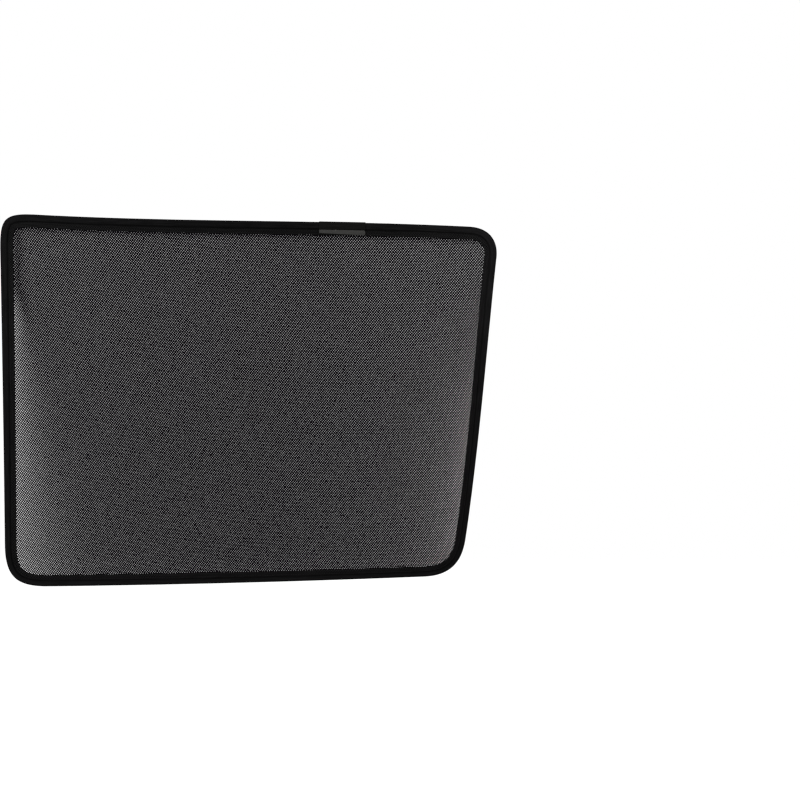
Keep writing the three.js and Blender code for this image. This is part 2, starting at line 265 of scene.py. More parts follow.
def folded_line(width, offset, reach, fine):
    """Half a folded section, inward and forward: hem, hump, fold round the wire, flat back"""
    hem_end = width - HEM_WIDTH + offset
    hump = hem_end - FOLD_RADIUS
    steps = (HEM_STEPS, HUMP_STEPS, FOLD_STEPS, BACK_STEPS) if fine else INNER_STEPS
    line = [(reach + (hem_end - reach) * t, HEM_DEPTH + offset) for t in np.arange(steps[0]) / steps[0]]
    for angle in np.arange(steps[1]) / steps[1] * math.pi / 2:
        line.append((
            FOLD_RADIUS + hump * math.cos(angle) ** (2 / HUMP_FULLNESS),
            HEM_DEPTH + offset + HUMP_HEIGHT * math.sin(angle) ** (2 / HUMP_FULLNESS),
        ))
    for angle in math.pi / 2 + math.pi * np.arange(steps[2]) / steps[2]:
        line.append((
            FOLD_RADIUS + (FOLD_RADIUS + offset) * math.cos(angle),
            FOLD_RADIUS + (FOLD_RADIUS + offset) * math.sin(angle),
        ))
    back = np.arange(steps[3] + 1) / steps[3]
    line += [(FOLD_RADIUS + (reach - FOLD_RADIUS) * t, -offset) for t in back]
    return line


def cloth_section(width, outer, inner, reach):
    """A folded strip's whole section: the fine outer line, then the plain inner line back again"""
    outside = folded_line(width, outer, reach, True)
    inside = folded_line(width, inner, reach, False)
    return np.array(outside + inside[::-1])


def finish_piece(bm, name, material, nodes=()):
    """Makes the object of a finished bmesh, with its material, body, slot and replaced nodes"""
    mesh = bpy.data.meshes.new(name)
    bm.to_mesh(mesh)
    bm.free()
    mesh.materials.append(material)
    piece = bpy.data.objects.new(name, mesh)
    bpy.context.scene.collection.objects.link(piece)
    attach(piece, "root")
    if nodes:
        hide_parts(*nodes)
    return piece


def shade_smooth(bm):
    """Smooth faces, with an edge kept where they meet sharply"""
    for face in bm.faces:
        face.smooth = True
    for edge in bm.edges:
        edge.smooth = len(edge.link_faces) == 2 and edge.calc_face_angle(0) < SHARP_ANGLE


def eased(value, start, end):
    """0 before start, 1 after end, and a smooth change between"""
    share = min(max((value - start) / (end - start), 0), 1)
    return share * share * (3 - 2 * share)


def swept_cloth(stations, sections, relief):
    """Bends a grid into a closed folded strip, whose outer side relief(along, inward, depth) moves out"""
    rows = len(sections[0])
    bm = bmesh.new()
    bmesh.ops.create_grid(bm, x_segments=len(stations) - 1, y_segments=rows, size=0.5)
    cloth = bm.verts.layers.float_vector.new("cloth")
    outer_rows = HEM_STEPS + HUMP_STEPS + FOLD_STEPS + BACK_STEPS + 1
    for vert in bm.verts:
        column = round((vert.co.x + 0.5) * (len(stations) - 1))
        row = round((vert.co.y + 0.5) * rows) % rows
        section = sections[column]
        inward, depth = section[row]
        along = stations[column]
        if row < outer_rows:
            inward, depth = relief(along, inward, depth)
        past_hump = inward - (float(rim_width(along)) - HEM_WIDTH)
        vert[cloth] = (along, (1 if depth > FOLD_RADIUS else -1) * inward, past_hump)
        vert.co = place(along, inward, depth)
    bmesh.ops.remove_doubles(bm, verts=bm.verts, dist=0.001 * MM)
    open_edges = [edge for edge in bm.edges if edge.is_boundary]
    bmesh.ops.holes_fill(bm, edges=open_edges, sides=0)
    bmesh.ops.recalc_face_normals(bm, faces=bm.faces)
    shade_smooth(bm)
    return bm


def soft_noise(along, inward, reach, seed):
    """Smooth noise from -1 to 1 over the cloth, with bumps about as wide as reach"""
    return noise.noise(Vector((along / reach, inward / reach, seed)))


def corner_weight(along):
    """1 in the middle of a corner's bend, 0 on the edges"""
    for i in range(len(CORNERS)):
        start, end = curve_ends[2 * i], curve_ends[2 * i + 1]
        if start < along % loop_length < end:
            return math.sin(math.pi * (along % loop_length - start) / (end - start))
    return 0


def tape_relief(along, inward, depth):
    """Slack of the tube, puckers and pinches along the stitches, and gathers round the corners"""
    hem = float(hem_edge(along)) - inward
    front = depth > FOLD_RADIUS
    rise = SLACK_HEIGHT * soft_noise(along, inward, SLACK_REACH, TAPE_SLACK_SEED)
    rise += PUCKER_HEIGHT * soft_noise(along, PUCKER_STRETCH * inward, PUCKER_REACH, PUCKER_SEED)
    drift = 2 * soft_noise(along, 0, PUCKER_REACH, GATHER_SEED)
    gathers = math.sin(2 * math.pi * along / GATHER_PITCH + drift)
    rise += GATHER_HEIGHT * gathers * corner_weight(along) * min(inward / HEM_WIDTH, 1)
    rise -= PINCH_DEPTH * sum(math.exp(-(((hem - at) / STITCH_PINCH) ** 2)) for at in STITCH_ROWS)
    if inward < FOLD_RADIUS:
        return inward - min(rise, MOST_RISE) * EDGE_SHARE, depth
    return inward, depth + (1 if front else -1) * min(rise, MOST_RISE)


def tab_relief(along, inward, depth):
    """The ribbon's thicker selvedges and its slight slack over the fold"""
    from_end = TAB_WIDTH / 2 - abs(along - tab_middle)
    rise = SELVEDGE_HEIGHT * math.exp(-((from_end / SELVEDGE_WIDTH) ** 2))
    rise += SLACK_HEIGHT * (1 + soft_noise(along, inward, SLACK_REACH, TAB_SLACK_SEED)) / 2
    if inward < FOLD_RADIUS:
        return inward - rise * EDGE_SHARE, depth
    return inward, depth + (1 if depth > FOLD_RADIUS else -1) * rise


def build_tape(material):
    """The tape round the whole edge, whose two ends meet under the ribbon"""
    start = tab_middle + TAPE_SEAM_GAP / 2
    stations = np.linspace(start, start + loop_length - TAPE_SEAM_GAP, TAPE_STATIONS)
    reaches = zip(rim_width(stations), hem_edge(stations))
    sections = [cloth_section(width, 0, -TAPE_THICKNESS, reach) for width, reach in reaches]
    bm = swept_cloth(stations, sections, tape_relief)
    return finish_piece(bm, "rim_tape", material, ["edge_binding"])


def build_tab(material):
    """The ribbon folded over the top edge"""
    stations = np.linspace(tab_middle - TAB_WIDTH / 2, tab_middle + TAB_WIDTH / 2, TAB_STATIONS)
    outer = CLEARANCE + TAB_THICKNESS
    sections = [cloth_section(w, outer, CLEARANCE, w - TAB_INSET) for w in rim_width(stations)]
    bm = swept_cloth(stations, sections, tab_relief)
    return finish_piece(bm, "pull_ribbon", material, ["pull_tab"])


def bevelled(bm, edges, radius, segments):
    bmesh.ops.bevel(
        bm, geom=edges, offset=radius, offset_type="OFFSET", segments=segments, profile=0.5,
        affect="EDGES", material=-1,
    )


def build_strip(material):
    """Bar across the tab's inner end: straight outside, widening inwards to a rounder right end"""
    inward = float(rim_width(tab_middle)) - HEM_WIDTH + TAB_THICKNESS + 2 * CLEARANCE
    depth = HEM_DEPTH + TAB_THICKNESS + 2 * CLEARANCE + BAR_THICKNESS / 2
    bm = bmesh.new()
    bmesh.ops.create_cube(bm, size=1)
    bmesh.ops.scale(bm, vec=(TAB_WIDTH, BAR_THICKNESS, 1), verts=bm.verts)
    for vert in bm.verts:
        width = BAR_RIGHT_WIDTH if vert.co.x > 0 else BAR_LEFT_WIDTH
        vert.co.z = 0 if vert.co.z > 0 else -width
    upright = [e for e in bm.edges if abs(e.verts[0].co.y - e.verts[1].co.y) > BAR_THICKNESS / 2]
    for right in (False, True):
        corner = [e for e in upright if (e.verts[0].co.x > 0) == right]
        bevelled(bm, corner, BAR_RIGHT_RADIUS if right else BAR_LEFT_RADIUS, BAR_CORNER_SEGMENTS)
        upright = [e for e in upright if e.is_valid]
    rims = [e for e in bm.edges if abs(e.verts[0].co.y - e.verts[1].co.y) < BAR_THICKNESS / 10]
    rims = [e for e in rims if any(abs(f.normal.y) < 0.5 for f in e.link_faces)]
    bevelled(bm, rims, BAR_EDGE_RADIUS, BAR_EDGE_SEGMENTS)
    for at in np.linspace(-BAR_CUT_REACH, BAR_CUT_REACH, BAR_CUTS) * TAB_WIDTH:
        whole = bm.verts[:] + bm.edges[:] + bm.faces[:]
        bmesh.ops.bisect_plane(bm, geom=whole, plane_co=(at, 0, 0), plane_no=(1, 0, 0))
    cloth = bm.verts.layers.float_vector.new("cloth")
    for vert in bm.verts:
        vert[cloth] = (vert.co.x, vert.co.z, 0)
        nub = NUB_RISE * math.exp(-(((vert.co.x - NUB_PLACE) / NUB_WIDTH) ** 2))
        vert.co.z += nub * eased(vert.co.z, -BAR_LEFT_WIDTH / 2, 0)
    bmesh.ops.transform(bm, matrix=turned_to_place(tab_middle, inward, depth), verts=bm.verts)
    bmesh.ops.recalc_face_normals(bm, faces=bm.faces)
    shade_smooth(bm)
    return finish_piece(bm, "tab_bar", material, ["tab_strip"])


def stitch_shape():
    """One stitch: a short round thread lying along X, pointed at both ends"""
    bm = bmesh.new()
    bmesh.ops.create_uvsphere(bm, u_segments=STITCH_SIDES, v_segments=STITCH_RINGS, radius=1)
    bmesh.ops.rotate(bm, cent=(0, 0, 0), matrix=Matrix.Rotation(math.pi / 2, 3, "Y"), verts=bm.verts)
    bmesh.ops.scale(bm, vec=(STITCH_LENGTH / 2, STITCH_RADIUS, STITCH_RADIUS), verts=bm.verts)
    for face in bm.faces:
        face.smooth = True
    shape = bpy.data.meshes.new("stitch_shape")
    bm.to_mesh(shape)
    bm.free()
    return shape


def build_stitches(name, depth, material):
    """Both rows of stitches on one side of the hem"""
    shape = stitch_shape()
    bm = bmesh.new()
    count = round(loop_length / STITCH_PITCH)
    for row in STITCH_ROWS:
        for along in np.arange(count) * loop_length / count:
            stitch = shape.copy()
            stitch.transform(turned_to_place(along, float(hem_edge(along)) - row, depth))
            bm.from_mesh(stitch)
            bpy.data.meshes.remove(stitch)
    bpy.data.meshes.remove(shape)
    return finish_piece(bm, name, material)


def inside_loop(points, loop):
    """Which points lie inside a closed loop, both as rows of X and Z"""
    inside = np.zeros(len(points), bool)
    for (ax, az), (bx, bz) in zip(loop, np.roll(loop, -1, axis=0)):
        if az != bz:
            crosses = (az > points[:, 1]) != (bz > points[:, 1])
            inside ^= crosses & (points[:, 0] < ax + (bx - ax) * (points[:, 1] - az) / (bz - az))
    return inside


hem_inner = place(travel[:-1], hem_edge(travel[:-1]), 0)[:, [0, 2]]
net_stops = travel[:-1:NET_EDGE_STRIDE]
net_edge = place(net_stops, rim_width(net_stops) - HEM_WIDTH + NET_HEM_COVER, 0)[:, [0, 2]]
left_edge = hem_inner[6 * CURVE_STEPS:7 * CURVE_STEPS]
right_edge = hem_inner[2 * CURVE_STEPS:3 * CURVE_STEPS]
top_edge = hem_inner[:CURVE_STEPS]


def open_share(x, z):
    """Share of a cell that its hole takes. The net opens towards its sides and most at the lower left."""
    from_left = max(x - np.interp(z, left_edge[:, 1], left_edge[:, 0]), 0)
    from_right = max(np.interp(-z, -right_edge[:, 1], right_edge[:, 0]) - x, 0)
    from_top = max(np.interp(x, top_edge[:, 0], top_edge[:, 1]) - z, 0)
    up = max(z / rim_high[2], 0)
    side = (x / rim_high[0]) ** 2
    share = OPEN_LOW + OPEN_TOP * up**2 + side * (OPEN_RIGHT if x > 0 else OPEN_LEFT)
    below = max(CREASE_TOP - z, 0)
    band = BAND_START + BAND_SPREAD * below
    share += OPEN_LEFT_BAND * eased(below, 0, BAND_RISE) * math.exp(-((from_left / band) ** BAND_POWER))
    share += OPEN_RIGHT_BAND * eased(below, 0, RIGHT_BAND_RISE) * math.exp(-from_right / RIGHT_BAND_WIDTH)
    # Painted shade of a crease: the holes close in a band down from the top left corner
    crease_shade = math.exp(-(((from_left - CREASE_INSET - CREASE_SLANT * below) / CREASE_WIDTH) ** 2))
    share *= 1 - CREASE_SHADE_CLOSING * crease_shade * (1 - eased(below, 0, CREASE_LENGTH))
    return share * (TOP_SHADE + (1 - TOP_SHADE) * eased(from_top, -TOP_SHADE_REACH / 2, TOP_SHADE_REACH))


def build_net(side, material):
    """One half of the net, split on a line of knots: -1 is the left half, 1 the right"""
    skew = math.sin(RISING_ANGLE - FALLING_ANGLE)
    falling_step = RISING_SPACING / skew
    rising_step = FALLING_SPACING / skew
    low, high = net_edge.min(axis=0), net_edge.max(axis=0)
    middle = (low + high) / 2
    half_reach = np.linalg.norm(high - low) / 2 * LATTICE_MARGIN
    count = 2 * math.ceil(half_reach / min(falling_step, rising_step))
    level = FOLD_RADIUS - HEM_DEPTH / 2
    falling = Vector((math.cos(FALLING_ANGLE), 0, math.sin(FALLING_ANGLE))) * falling_step * count
    rising = Vector((math.cos(RISING_ANGLE), 0, math.sin(RISING_ANGLE))) * rising_step * count
    lattice = Matrix((falling, rising, (0, -1, 0))).transposed().to_4x4()
    lattice.translation = (middle[0], level, middle[1])
    bm = bmesh.new()
    cloth = bm.verts.layers.float_vector.new("cloth")
    bmesh.ops.create_grid(bm, x_segments=count, y_segments=count, size=0.5)
    for vert in bm.verts:
        vert[cloth] = (vert.co + Vector((0.5, 0.5, 0))) * count
    bmesh.ops.transform(bm, matrix=lattice, verts=bm.verts)
    for vert in bm.verts:
        x, z = vert.co.x - middle[0], vert.co.z - middle[1]
        vert.co.x += LATTICE_SPREAD * x * z
        vert.co.z += LATTICE_SPREAD * (z * z - x * x) / 2
    centres = np.array([face.calc_center_median()[:] for face in bm.faces])
    kept = inside_loop(centres[:, [0, 2]], net_edge) & (side * centres[:, 0] > 0)
    bmesh.ops.delete(bm, geom=[f for f, keep in zip(bm.faces, kept) if not keep], context="FACES")
    cells = bm.faces[:]
    knots = bm.verts[:]
    areas = [cell.calc_area() for cell in cells]
    turns = [[vert[cloth].copy() for vert in cell.verts] for cell in cells]
    bmesh.ops.inset_individual(bm, faces=cells, thickness=HOLE_START, use_even_offset=True)
    dice = random.Random(NET_SEED + side)
    for cell, area, corner_turns in zip(cells, areas, turns):
        centre = cell.calc_center_median()
        share = open_share(centre.x, centre.z) * (1 + dice.uniform(-1, 1) * HOLE_UNEVENNESS)
        size = math.sqrt(share * area / cell.calc_area())
        middle_turn = sum(corner_turns, Vector()) / len(corner_turns)
        for vert, turn in zip(cell.verts, corner_turns):
            vert.co = centre + (vert.co - centre) * size
            vert[cloth] = middle_turn + (turn - middle_turn) * math.sqrt(share)
    for knot in knots:
        knot.co.y -= KNOT_HEIGHT
    bmesh.ops.delete(bm, geom=cells, context="FACES")
    bmesh.ops.recalc_face_normals(bm, faces=bm.faces)
    nodes = ["mesh_screen"] if side < 0 else []
    name = "net_left" if side < 0 else "net_right"
    piece = finish_piece(bm, name, material, nodes)
    return piece


# Finish of the cloths: colours of their shade from dark to light, and depth of their relief
TAPE_COLOURS = (0.0008, 0.0008, 0.0008), (0.018, 0.0176, 0.0183)
RIBBON_COLOURS = (0.0012, 0.0012, 0.0011), (0.0145, 0.0146, 0.0137)
BAR_COLOURS = (0.011, 0.011, 0.0103), (0.072, 0.071, 0.067)
THREAD_COLOURS = (0.003, 0.003, 0.003), (0.016, 0.016, 0.016)
NET_COLOURS = (0.0006, 0.0004, 0.0007), (0.0095, 0.0075, 0.0105)
WEAVE_RELIEF = 0.12 * MM
THREAD_RELIEF = 0.04 * MM
YARN_RELIEF = 0.2 * MM
GRAIN_RELIEF = 0.02 * MM

# Weaves: pitch along and across the strip, then length and width of the streaks
TAPE_WEAVE = 0.8 * MM, 0.8 * MM, 30 * MM, 1.6 * MM
RIBBON_WEAVE = 1.1 * MM, 0.7 * MM, 25 * MM, 1.1 * MM
BAR_WEAVE = 2.2 * MM, 1.5 * MM, 9 * MM, 0.8 * MM

# Woven cloth: shares of the weave, whose lighter crowns and darker gaps are painted light and shade, the
# cloud, the streaks and the specks in its shade
WEAVE_PAINTED_SHADE_SHARE = 0.5
CLOUD_SHARE = 0.3
STREAK_SHARE = 0.9
SPECK_SHARE = 0.5
CLOTH_CLOUD = 45 * MM
SPECK_SCALE = 1400
SPECK_START = 0.66
SPECK_SHARPNESS = 9

# Tape tone: painted shade in the darker valley beside the hump, and painted light in the change from side to
# side and at the upper corners
PAINTED_VALLEY_SHADE_WIDTH = 1.1 * MM
PAINTED_VALLEY_SHADE = 0.42
PAINTED_LIGHT_MIDDLE = 0.76
PAINTED_LIGHT_TO_RIGHT = -0.12
CORNER_PAINTED_LIGHT_LIFT = 0.65
CORNER_PAINTED_LIGHT_SLANT = 0.35

# Knots that press through the hem, in patches
PATCH_SCALE = 9
PATCH_START = 0.4
PATCH_SHARPNESS = 5
KNOT_TONE = 1.2
KNOT_RELIEF = 0.8

# Net yarn: roundness, lift where one yarn crosses over the other, twist and fibres; the crowns are painted
# lighter and the grooves darker
YARN_ROUNDNESS = 0.7
YARN_LIFT = 0.25
PLY_ALONG = 5
PLY_ACROSS = 3
YARN_CROWN_LIGHT_POWER = 2
YARN_SPECK_SHARE = 0.4
NET_CLOUD = 60 * MM
FIBRE_SCALE = 2600
FIBRE_SHARE = 0.4
FIBRE_RELIEF = 0.2
TWIST_RELIEF = 0.15

# Thread and metal: scale of the thread's twist, and how the drawn grain changes the roughness
THREAD_TWIST_SCALE = 3000
GRAIN_ROUGHNESS = 0.25
GRAIN_SMOOTHING = 0.1


def feed(tree, socket, value):
    """Links another node's socket to this one, or sets its number or colour"""
    if isinstance(value, bpy.types.NodeSocket):
        tree.links.new(value, socket)
    else:
        socket.default_value = value


def node(tree, kind, **inputs):
    """Adds a node, with its inputs by the names of their sockets"""
    made = tree.nodes.new(kind)
    for name, value in inputs.items():
        feed(tree, made.inputs[name], value)
    return made


def maths(tree, operation, *values, clamp=False):
    """Adds one calculation and gives its result"""
    made = tree.nodes.new("ShaderNodeMath")
    made.operation = operation
    made.use_clamp = clamp
    for socket, value in zip(made.inputs, values):
        feed(tree, socket, value)
    return made.outputs[0]


def noise_share(tree, vector, scale, detail=3, roughness=0.6):
    """Smooth noise from 0 to 1"""
    made = node(tree, "ShaderNodeTexNoise", Vector=vector, Scale=scale, Detail=detail, Roughness=roughness)
    return made.outputs["Fac"]


def shader_group(name, inputs, outputs):
    """An empty shader group with named number and vector sockets"""
    group = bpy.data.node_groups.new(name, "ShaderNodeTree")
    for label, kind in inputs:
        group.interface.new_socket(label, in_out="INPUT", socket_type=kind)
    for label, kind in outputs:
        group.interface.new_socket(label, in_out="OUTPUT", socket_type=kind)
    return group, group.nodes.new("NodeGroupInput").outputs, group.nodes.new("NodeGroupOutput").inputs


def make_weave_group():
    """Plain weave: threads along and across the cloth, over and under in turn"""
    inputs = [("Vector", "NodeSocketVector")]
    inputs += [(label, "NodeSocketFloat") for label in ("Along Pitch", "Across Pitch")]
    group, given, result = shader_group("plain_weave", inputs, [("Height", "NodeSocketFloat")])
    axes = node(group, "ShaderNodeSeparateXYZ", Vector=given["Vector"]).outputs
    turns = []
    for axis, pitch in (("X", "Along Pitch"), ("Y", "Across Pitch")):
        angle = maths(group, "MULTIPLY", maths(group, "DIVIDE", axes[axis], given[pitch]), 2 * math.pi)
        turns.append(maths(group, "SINE", angle))
    height = maths(group, "MULTIPLY", turns[0], turns[1])
    group.links.new(maths(group, "MULTIPLY_ADD", height, 0.5, 0.5), result["Height"])
    return group


def make_lint_group():
    """Fine lint and dye variation: a soft cloud and sparse specks"""
    inputs = [("Vector", "NodeSocketVector"), ("Cloud Size", "NodeSocketFloat")]
    outputs = [("Cloud", "NodeSocketFloat"), ("Specks", "NodeSocketFloat")]
    group, given, result = shader_group("lint", inputs, outputs)
    scale = maths(group, "DIVIDE", 1.0, given["Cloud Size"])
    cloud = noise_share(group, given["Vector"], scale, detail=4)
    specks = noise_share(group, given["Vector"], SPECK_SCALE, detail=2, roughness=0.5)
    group.links.new(cloud, result["Cloud"])
    above = maths(group, "SUBTRACT", specks, SPECK_START)
    group.links.new(maths(group, "MULTIPLY", above, SPECK_SHARPNESS, clamp=True), result["Specks"])
    return group


def make_yarn_group():
    """Two families of round yarns, over and under in turn, from places counted in yarns"""
    outputs = [("Height", "NodeSocketFloat"), ("Twist", "NodeSocketFloat")]
    group, given, result = shader_group("crossed_yarns", [("Vector", "NodeSocketVector")], outputs)
    axes = node(group, "ShaderNodeSeparateXYZ", Vector=given["Vector"]).outputs
    waves = [maths(group, "COSINE", maths(group, "MULTIPLY", axes[axis], math.pi)) for axis in ("X", "Y")]
    heights, twists = [], []
    for along, across, side in ((0, 1, 1), (1, 0, -1)):
        round_top = maths(group, "POWER", maths(group, "ABSOLUTE", waves[across]), YARN_ROUNDNESS)
        lift = maths(group, "MULTIPLY", waves[along], maths(group, "SIGN", waves[across]))
        heights.append(maths(group, "MULTIPLY_ADD", lift, YARN_LIFT * side, round_top))
        across_turns = maths(group, "MULTIPLY", axes[across], PLY_ACROSS)
        ply = maths(group, "MULTIPLY_ADD", axes[along], PLY_ALONG, across_turns)
        twists.append(maths(group, "SINE", maths(group, "MULTIPLY", ply, 2 * math.pi)))
    top = maths(group, "GREATER_THAN", heights[0], heights[1])
    difference = maths(group, "SUBTRACT", twists[0], twists[1])
    twist = maths(group, "MULTIPLY_ADD", difference, top, twists[1])
    highest = maths(group, "MAXIMUM", *heights)
    group.links.new(maths(group, "MULTIPLY", highest, 1 / (1 + YARN_LIFT)), result["Height"])
    group.links.new(maths(group, "MULTIPLY_ADD", twist, 0.5, 0.5), result["Twist"])
    return group


def make_knot_group():
    """The net's knots, as they press through the thin hem"""
    group, given, result = shader_group(
        "pressed_knots", [("Vector", "NodeSocketVector")], [("Height", "NodeSocketFloat")]
    )
    axes = node(group, "ShaderNodeSeparateXYZ", Vector=given["Vector"]).outputs
    waves = []
    for angle, spacing in ((RISING_ANGLE, RISING_SPACING), (FALLING_ANGLE, FALLING_SPACING)):
        turn_x = -math.sin(angle) * 2 * math.pi / spacing
        turn_z = math.cos(angle) * 2 * math.pi / spacing
        phase = maths(group, "MULTIPLY_ADD", axes["X"], turn_x, maths(group, "MULTIPLY", axes["Z"], turn_z))
        waves.append(maths(group, "COSINE", phase))
    total = maths(group, "ADD", *waves)
    group.links.new(maths(group, "MULTIPLY_ADD", total, 0.25, 0.5), result["Height"])
    return group


weave_group = make_weave_group()
lint_group = make_lint_group()
yarn_group = make_yarn_group()
knot_group = make_knot_group()


def use_group(tree, group, **inputs):
    """Adds a shader group, with its inputs by name, and gives its outputs"""
    made = tree.nodes.new("ShaderNodeGroup")
    made.node_tree = group
    for name, value in inputs.items():
        feed(tree, made.inputs[name.replace("_", " ")], value)
    return made.outputs


def new_material(name, roughness, specular, metallic=0):
    material = bpy.data.materials.new(name)
    material.use_nodes = True
    shader = material.node_tree.nodes["Principled BSDF"]
    shader.inputs["Roughness"].default_value = roughness
    shader.inputs["Specular IOR Level"].default_value = specular
    shader.inputs["Metallic"].default_value = metallic
    return material, material.node_tree, shader


def blended(tree, share, dark, light):
    """A colour between two, by a mask"""
    mix = tree.nodes.new("ShaderNodeMix")
    mix.data_type = "RGBA"
    tree.links.new(share, mix.inputs[0])
    mix.inputs[6].default_value = (*dark, 1)
    mix.inputs[7].default_value = (*light, 1)
    return mix.outputs[2]


def bump(tree, shader, height, distance):
    made = node(tree, "ShaderNodeBump", Height=height, Distance=distance, Strength=1)
    tree.links.new(made.outputs["Normal"], shader.inputs["Normal"])


def cloth_vector(tree):
    attribute = tree.nodes.new("ShaderNodeAttribute")
    attribute.attribute_name = "cloth"
    return attribute.outputs["Vector"]


def object_vector(tree):
    return tree.nodes.new("ShaderNodeTexCoord").outputs["Object"]


def streaks(tree, vector, length, width):
    """Soft streaks along the cloth"""
    axes = node(tree, "ShaderNodeSeparateXYZ", Vector=vector).outputs
    scaled = node(
        tree, "ShaderNodeCombineXYZ",
        X=maths(tree, "DIVIDE", axes["X"], length), Y=maths(tree, "DIVIDE", axes["Y"], width),
    )
    return noise_share(tree, scaled.outputs[0], 1)


def woven_shade(tree, along_pitch, across_pitch, streak_length, streak_width):
    """Weave, streaks and lint of a cloth whose threads follow its strip: the weave and the whole shade,
    where the weave paints light on the thread crowns and shade in the gaps
    """
    vector = cloth_vector(tree)
    weave = use_group(tree, weave_group, Vector=vector, Along_Pitch=along_pitch, Across_Pitch=across_pitch)
    lint = use_group(tree, lint_group, Vector=object_vector(tree), Cloud_Size=CLOTH_CLOUD)
    streak = streaks(tree, vector, streak_length, streak_width)
    cloud = maths(tree, "MULTIPLY", lint["Cloud"], CLOUD_SHARE)
    # Painted light and shade: thread crowns lighter, the gaps between threads darker
    shade = maths(tree, "MULTIPLY_ADD", weave["Height"], WEAVE_PAINTED_SHADE_SHARE, cloud)
    shade = maths(tree, "MULTIPLY_ADD", maths(tree, "SUBTRACT", streak, 0.5), STREAK_SHARE, shade)
    return weave["Height"], maths(tree, "MULTIPLY_ADD", lint["Specks"], SPECK_SHARE, shade)


def ribbon_material():
    """Black ribbon, ribbed across its strip"""
    material, tree, shader = new_material("ribbon_cloth", 0.8, 0.03)
    weave, shade = woven_shade(tree, *RIBBON_WEAVE)
    tree.links.new(blended(tree, shade, *RIBBON_COLOURS), shader.inputs["Base Color"])
    bump(tree, shader, weave, WEAVE_RELIEF)
    return material


def tape_material():
    """Black tape: darker in the valley beside the hump as painted shade, lighter at the upper corners and
    changing from side to side as painted light, knots under the hem
    """
    material, tree, shader = new_material("rim_cloth", 0.9, 0.02)
    weave, shade = woven_shade(tree, *TAPE_WEAVE)
    past_hump = node(tree, "ShaderNodeSeparateXYZ", Vector=cloth_vector(tree)).outputs["Z"]
    # Painted shade: a darker line in the valley beside the hump
    steps = maths(tree, "DIVIDE", past_hump, PAINTED_VALLEY_SHADE_WIDTH)
    valley_painted_shade = maths(tree, "EXPONENT", maths(tree, "MULTIPLY", maths(tree, "MULTIPLY", steps, steps), -1))
    vector = object_vector(tree)
    # Painted light: lighter towards the upper corners, changing from side to side
    axes = node(tree, "ShaderNodeSeparateXYZ", Vector=vector).outputs
    sideways = maths(tree, "DIVIDE", axes["X"], rim_high[0])
    upward = maths(tree, "DIVIDE", axes["Z"], rim_high[2], clamp=True)
    reach = maths(tree, "MULTIPLY", sideways, upward)
    corner = maths(tree, "MULTIPLY", reach, reach)
    level = maths(tree, "MULTIPLY_ADD", sideways, PAINTED_LIGHT_TO_RIGHT, PAINTED_LIGHT_MIDDLE)
    lift = maths(tree, "MULTIPLY_ADD", sideways, CORNER_PAINTED_LIGHT_SLANT, CORNER_PAINTED_LIGHT_LIFT)
    painted_light_tone = maths(tree, "MULTIPLY_ADD", corner, lift, level)
    # Both painted: light at the corners and sides, shade in the valley
    kept = maths(tree, "MULTIPLY", painted_light_tone, maths(tree, "MULTIPLY_ADD", valley_painted_shade, -PAINTED_VALLEY_SHADE, 1))
    knots = use_group(tree, knot_group, Vector=vector)["Height"]
    patches = maths(tree, "SUBTRACT", noise_share(tree, vector, PATCH_SCALE, detail=1), PATCH_START)
    pressed = maths(tree, "MULTIPLY", patches, PATCH_SHARPNESS, clamp=True)
    on_hem = maths(tree, "MULTIPLY", maths(tree, "DIVIDE", past_hump, HEM_WIDTH / 2, clamp=True), pressed)
    knots_shown = maths(tree, "MULTIPLY", maths(tree, "SUBTRACT", knots, 0.5), on_hem)
    shade = maths(tree, "MULTIPLY_ADD", knots_shown, KNOT_TONE, shade)
    shade = maths(tree, "MULTIPLY", shade, kept, clamp=True)
    tree.links.new(blended(tree, shade, *TAPE_COLOURS), shader.inputs["Base Color"])
    bump(tree, shader, maths(tree, "MULTIPLY_ADD", knots_shown, KNOT_RELIEF, weave), WEAVE_RELIEF)
    return material


def bar_material():
    """Grey braid with streaks, and a painted highlight on the nub"""
    material, tree, shader = new_material("bar_braid", 0.6, 0.15)
    weave, shade = woven_shade(tree, *BAR_WEAVE)
    axes = node(tree, "ShaderNodeSeparateXYZ", Vector=cloth_vector(tree)).outputs
    # Painted highlight: a paler spot on the nub
    from_nub = maths(tree, "DIVIDE", maths(tree, "SUBTRACT", axes["X"], NUB_PLACE), NUB_WIDTH)
    from_side = maths(tree, "DIVIDE", axes["Y"], NUB_WIDTH)
    squares = [maths(tree, "MULTIPLY", value, value) for value in (from_nub, from_side)]
    nub = maths(tree, "EXPONENT", maths(tree, "MULTIPLY", maths(tree, "ADD", *squares), -1))
    shade = maths(tree, "ADD", shade, nub, clamp=True)
    tree.links.new(blended(tree, shade, *BAR_COLOURS), shader.inputs["Base Color"])
    bump(tree, shader, weave, WEAVE_RELIEF)
    return material


def thread_material():
    """Matt twisted thread"""
    material, tree, shader = new_material("black_thread", 0.6, 0.1)
    twist = noise_share(tree, object_vector(tree), THREAD_TWIST_SCALE)
    tree.links.new(blended(tree, twist, *THREAD_COLOURS), shader.inputs["Base Color"])
    bump(tree, shader, twist, THREAD_RELIEF)
    return material


